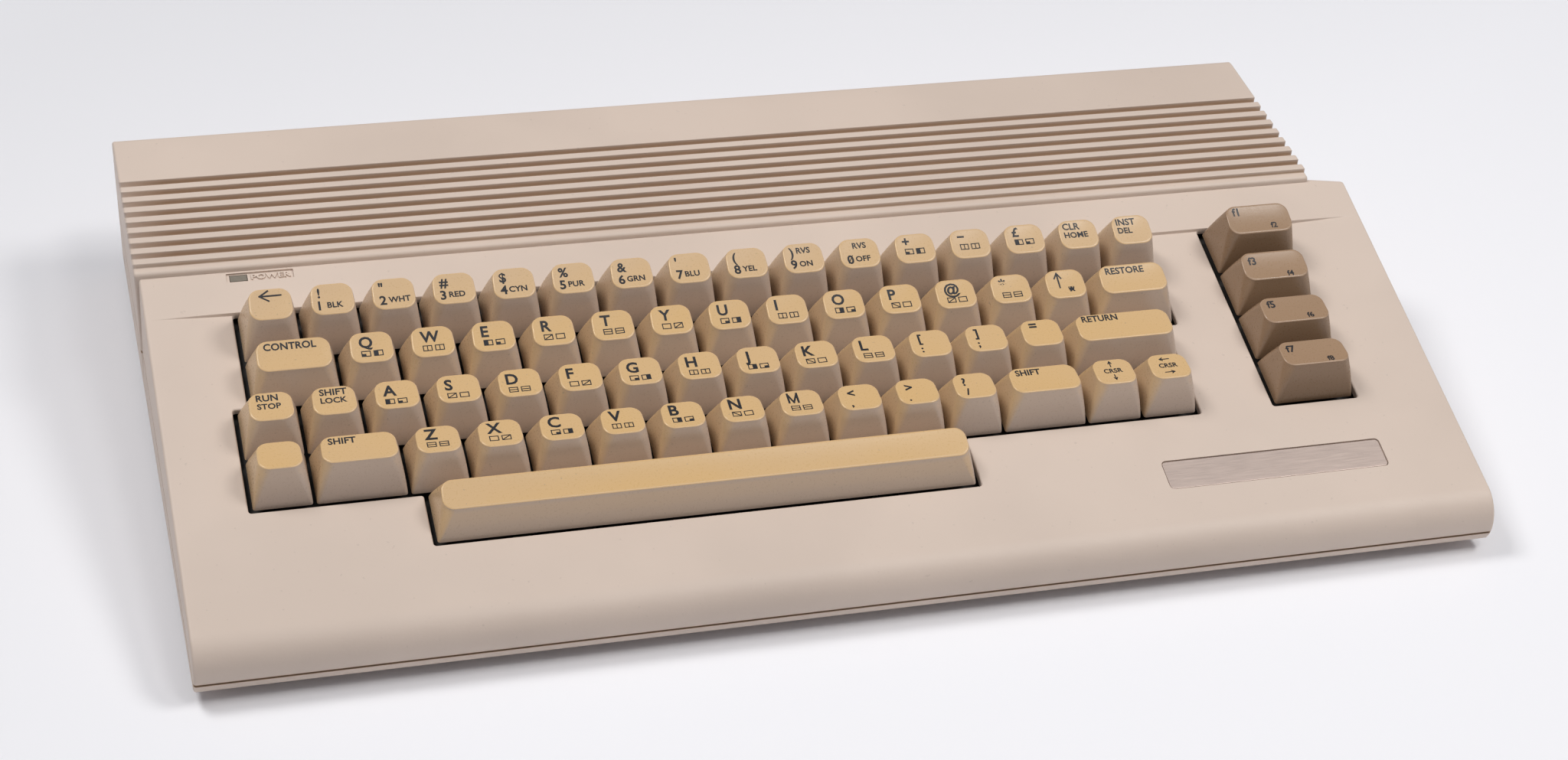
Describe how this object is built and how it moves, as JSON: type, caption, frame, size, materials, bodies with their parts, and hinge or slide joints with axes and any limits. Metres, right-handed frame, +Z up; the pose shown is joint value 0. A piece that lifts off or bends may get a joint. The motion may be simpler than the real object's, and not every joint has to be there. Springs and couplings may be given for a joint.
{
  "type": "home computer",
  "caption": "Wedge-shaped beige home computer with a full keyboard on a sloping deck, a ribbed flat rear section, and sockets at the rear and right side.",
  "frame": {"origin": "bottom centre of the case's box, on the surface that the feet stand on", "axes": "+X to the user's right along the width, +Y from the front edge to the rear wall, +Z up"},
  "size_m": [0.417, 0.218, 0.0613],
  "materials": {
    "beige_case": "fine-textured moulded ABS, warm beige",
    "plate_metal": "brushed taupe-grey metal foil on plastic",
    "lamp_lens": "tinted lamp lens, unlit",
    "brown_keycap": "moulded brown-grey keycaps",
    "cream_keycap": "moulded, yellowed keycaps",
    "black_frame": "moulded black plastic",
    "circuit_board": "solder-masked glass-fibre board",
    "black_socket": "moulded black plastic",
    "capacitor_sleeve": "shrunk blue sleeve",
    "tinned_steel": "tinned sheet steel",
    "bright_steel": "plated steel wire and screws",
    "lead_sleeve": "plastic insulated leads",
    "foot_rubber": "moulded rubber"
  },
  "bodies": {
    "case": {"top_case": "beige_case", "bottom_case": "beige_case", "nameplate": "plate_metal", "power_lamp": "lamp_lens", "lamp_lead": "lead_sleeve", "keyboard_frame": "black_frame", "keyboard_board": "circuit_board", "keyboard_cable": "lead_sleeve", "key_springs": "bright_steel", "shift_lock_switch": "black_frame", "main_board": "circuit_board", "board_chips": "black_socket", "board_capacitors": "capacitor_sleeve", "heat_shield": "tinned_steel", "modulator_box": "tinned_steel", "cartridge_socket": "black_socket", "din_sockets": "black_socket", "joystick_sockets": "tinned_steel", "power_switch_body": "black_socket", "rubber_feet": "foot_rubber", "screws": "bright_steel"},
    "number_row_keys": {"number_row_keys": "cream_keycap"},
    "punctuation_keys": {"punctuation_keys": "cream_keycap"},
    "command_keys": {"command_keys": "cream_keycap"},
    "function_keys": {"function_keys": "brown_keycap"},
    "space_bar": {"space_bar": "cream_keycap"},
    "return_key": {"return_key": "cream_keycap"},
    "left_shift_key": {"left_shift_key": "cream_keycap"},
    "right_shift_key": {"right_shift_key": "cream_keycap"},
    "shift_lock_key": {"shift_lock_key": "cream_keycap"},
    "key_a": {"key_a": "cream_keycap"},
    "key_b": {"key_b": "cream_keycap"},
    "key_c": {"key_c": "cream_keycap"},
    "key_d": {"key_d": "cream_keycap"},
    "key_e": {"key_e": "cream_keycap"},
    "key_f": {"key_f": "cream_keycap"},
    "key_g": {"key_g": "cream_keycap"},
    "key_h": {"key_h": "cream_keycap"},
    "key_i": {"key_i": "cream_keycap"},
    "key_j": {"key_j": "cream_keycap"},
    "key_k": {"key_k": "cream_keycap"},
    "key_l": {"key_l": "cream_keycap"},
    "key_m": {"key_m": "cream_keycap"},
    "key_n": {"key_n": "cream_keycap"},
    "key_o": {"key_o": "cream_keycap"},
    "key_p": {"key_p": "cream_keycap"},
    "key_q": {"key_q": "cream_keycap"},
    "key_r": {"key_r": "cream_keycap"},
    "key_s": {"key_s": "cream_keycap"},
    "key_t": {"key_t": "cream_keycap"},
    "key_u": {"key_u": "cream_keycap"},
    "key_v": {"key_v": "cream_keycap"},
    "key_w": {"key_w": "cream_keycap"},
    "key_x": {"key_x": "cream_keycap"},
    "key_y": {"key_y": "cream_keycap"},
    "key_z": {"key_z": "cream_keycap"},
    "space_bar_wire": {"space_bar_wire": "bright_steel"},
    "power_rocker": {"power_rocker": "black_socket"},
    "channel_slider": {"channel_slider": "black_socket"}
  },
  "joints": [
    {"name": "number_row_keys_press", "type": "slide", "parent": "case", "child": "number_row_keys", "axis": [0, 0.2164, -0.9763], "range_m": [0, 0.004], "stiffness_N_per_m": 960, "springref_m": -0.004},
    {"name": "punctuation_keys_press", "type": "slide", "parent": "case", "child": "punctuation_keys", "axis": [0, 0.2164, -0.9763], "range_m": [0, 0.004], "stiffness_N_per_m": 540, "springref_m": -0.004},
    {"name": "command_keys_press", "type": "slide", "parent": "case", "child": "command_keys", "axis": [0, 0.2164, -0.9763], "range_m": [0, 0.004], "stiffness_N_per_m": 360, "springref_m": -0.004},
    {"name": "function_keys_press", "type": "slide", "parent": "case", "child": "function_keys", "axis": [0, 0.2164, -0.9763], "range_m": [0, 0.004], "stiffness_N_per_m": 240, "springref_m": -0.004},
    {"name": "space_bar_press", "type": "slide", "parent": "case", "child": "space_bar", "axis": [0, 0.2164, -0.9763], "range_m": [0, 0.004], "stiffness_N_per_m": 120, "springref_m": -0.004},
    {"name": "return_key_press", "type": "slide", "parent": "case", "child": "return_key", "axis": [0, 0.2164, -0.9763], "range_m": [0, 0.004], "stiffness_N_per_m": 60, "springref_m": -0.004},
    {"name": "left_shift_key_press", "type": "slide", "parent": "case", "child": "left_shift_key", "axis": [0, 0.2164, -0.9763], "range_m": [0, 0.004], "stiffness_N_per_m": 60, "springref_m": -0.004},
    {"name": "right_shift_key_press", "type": "slide", "parent": "case", "child": "right_shift_key", "axis": [0, 0.2164, -0.9763], "range_m": [0, 0.004], "stiffness_N_per_m": 60, "springref_m": -0.004},
    {"name": "shift_lock_key_press", "type": "slide", "parent": "case", "child": "shift_lock_key", "axis": [0, 0.2164, -0.9763], "range_m": [0, 0.004], "stiffness_N_per_m": 60, "springref_m": -0.004},
    {"name": "key_a_press", "type": "slide", "parent": "case", "child": "key_a", "axis": [0, 0.2164, -0.9763], "range_m": [0, 0.004], "stiffness_N_per_m": 60, "springref_m": -0.004},
    {"name": "key_b_press", "type": "slide", "parent": "case", "child": "key_b", "axis": [0, 0.2164, -0.9763], "range_m": [0, 0.004], "stiffness_N_per_m": 60, "springref_m": -0.004},
    {"name": "key_c_press", "type": "slide", "parent": "case", "child": "key_c", "axis": [0, 0.2164, -0.9763], "range_m": [0, 0.004], "stiffness_N_per_m": 60, "springref_m": -0.004},
    {"name": "key_d_press", "type": "slide", "parent": "case", "child": "key_d", "axis": [0, 0.2164, -0.9763], "range_m": [0, 0.004], "stiffness_N_per_m": 60, "springref_m": -0.004},
    {"name": "key_e_press", "type": "slide", "parent": "case", "child": "key_e", "axis": [0, 0.2164, -0.9763], "range_m": [0, 0.004], "stiffness_N_per_m": 60, "springref_m": -0.004},
    {"name": "key_f_press", "type": "slide", "parent": "case", "child": "key_f", "axis": [0, 0.2164, -0.9763], "range_m": [0, 0.004], "stiffness_N_per_m": 60, "springref_m": -0.004},
    {"name": "key_g_press", "type": "slide", "parent": "case", "child": "key_g", "axis": [0, 0.2164, -0.9763], "range_m": [0, 0.004], "stiffness_N_per_m": 60, "springref_m": -0.004},
    {"name": "key_h_press", "type": "slide", "parent": "case", "child": "key_h", "axis": [0, 0.2164, -0.9763], "range_m": [0, 0.004], "stiffness_N_per_m": 60, "springref_m": -0.004},
    {"name": "key_i_press", "type": "slide", "parent": "case", "child": "key_i", "axis": [0, 0.2164, -0.9763], "range_m": [0, 0.004], "stiffness_N_per_m": 60, "springref_m": -0.004},
    {"name": "key_j_press", "type": "slide", "parent": "case", "child": "key_j", "axis": [0, 0.2164, -0.9763], "range_m": [0, 0.004], "stiffness_N_per_m": 60, "springref_m": -0.004},
    {"name": "key_k_press", "type": "slide", "parent": "case", "child": "key_k", "axis": [0, 0.2164, -0.9763], "range_m": [0, 0.004], "stiffness_N_per_m": 60, "springref_m": -0.004},
    {"name": "key_l_press", "type": "slide", "parent": "case", "child": "key_l", "axis": [0, 0.2164, -0.9763], "range_m": [0, 0.004], "stiffness_N_per_m": 60, "springref_m": -0.004},
    {"name": "key_m_press", "type": "slide", "parent": "case", "child": "key_m", "axis": [0, 0.2164, -0.9763], "range_m": [0, 0.004], "stiffness_N_per_m": 60, "springref_m": -0.004},
    {"name": "key_n_press", "type": "slide", "parent": "case", "child": "key_n", "axis": [0, 0.2164, -0.9763], "range_m": [0, 0.004], "stiffness_N_per_m": 60, "springref_m": -0.004},
    {"name": "key_o_press", "type": "slide", "parent": "case", "child": "key_o", "axis": [0, 0.2164, -0.9763], "range_m": [0, 0.004], "stiffness_N_per_m": 60, "springref_m": -0.004},
    {"name": "key_p_press", "type": "slide", "parent": "case", "child": "key_p", "axis": [0, 0.2164, -0.9763], "range_m": [0, 0.004], "stiffness_N_per_m": 60, "springref_m": -0.004},
    {"name": "key_q_press", "type": "slide", "parent": "case", "child": "key_q", "axis": [0, 0.2164, -0.9763], "range_m": [0, 0.004], "stiffness_N_per_m": 60, "springref_m": -0.004},
    {"name": "key_r_press", "type": "slide", "parent": "case", "child": "key_r", "axis": [0, 0.2164, -0.9763], "range_m": [0, 0.004], "stiffness_N_per_m": 60, "springref_m": -0.004},
    {"name": "key_s_press", "type": "slide", "parent": "case", "child": "key_s", "axis": [0, 0.2164, -0.9763], "range_m": [0, 0.004], "stiffness_N_per_m": 60, "springref_m": -0.004},
    {"name": "key_t_press", "type": "slide", "parent": "case", "child": "key_t", "axis": [0, 0.2164, -0.9763], "range_m": [0, 0.004], "stiffness_N_per_m": 60, "springref_m": -0.004},
    {"name": "key_u_press", "type": "slide", "parent": "case", "child": "key_u", "axis": [0, 0.2164, -0.9763], "range_m": [0, 0.004], "stiffness_N_per_m": 60, "springref_m": -0.004},
    {"name": "key_v_press", "type": "slide", "parent": "case", "child": "key_v", "axis": [0, 0.2164, -0.9763], "range_m": [0, 0.004], "stiffness_N_per_m": 60, "springref_m": -0.004},
    {"name": "key_w_press", "type": "slide", "parent": "case", "child": "key_w", "axis": [0, 0.2164, -0.9763], "range_m": [0, 0.004], "stiffness_N_per_m": 60, "springref_m": -0.004},
    {"name": "key_x_press", "type": "slide", "parent": "case", "child": "key_x", "axis": [0, 0.2164, -0.9763], "range_m": [0, 0.004], "stiffness_N_per_m": 60, "springref_m": -0.004},
    {"name": "key_y_press", "type": "slide", "parent": "case", "child": "key_y", "axis": [0, 0.2164, -0.9763], "range_m": [0, 0.004], "stiffness_N_per_m": 60, "springref_m": -0.004},
    {"name": "key_z_press", "type": "slide", "parent": "case", "child": "key_z", "axis": [0, 0.2164, -0.9763], "range_m": [0, 0.004], "stiffness_N_per_m": 60, "springref_m": -0.004},
    {"name": "space_bar_wire_swing", "type": "hinge", "parent": "case", "child": "space_bar_wire", "pos_m": [-0.04565, -0.0736, 0.01968], "axis": [-1, 0, 0], "range_deg": [0, 25.78]},
    {"name": "power_rocker_tilt", "type": "hinge", "parent": "case", "child": "power_rocker", "pos_m": [0.1912, 0.076, 0.0211], "axis": [0, 0, 1], "range_deg": [0, 16]},
    {"name": "channel_slider_slide", "type": "slide", "parent": "case", "child": "channel_slider", "axis": [1, 0, 0], "range_m": [0, 0.003]}
  ],
  "couplings": [
    {"joint": "space_bar_wire_swing", "follows": "space_bar_press", "rad_per_m": 112.05}
  ]
}
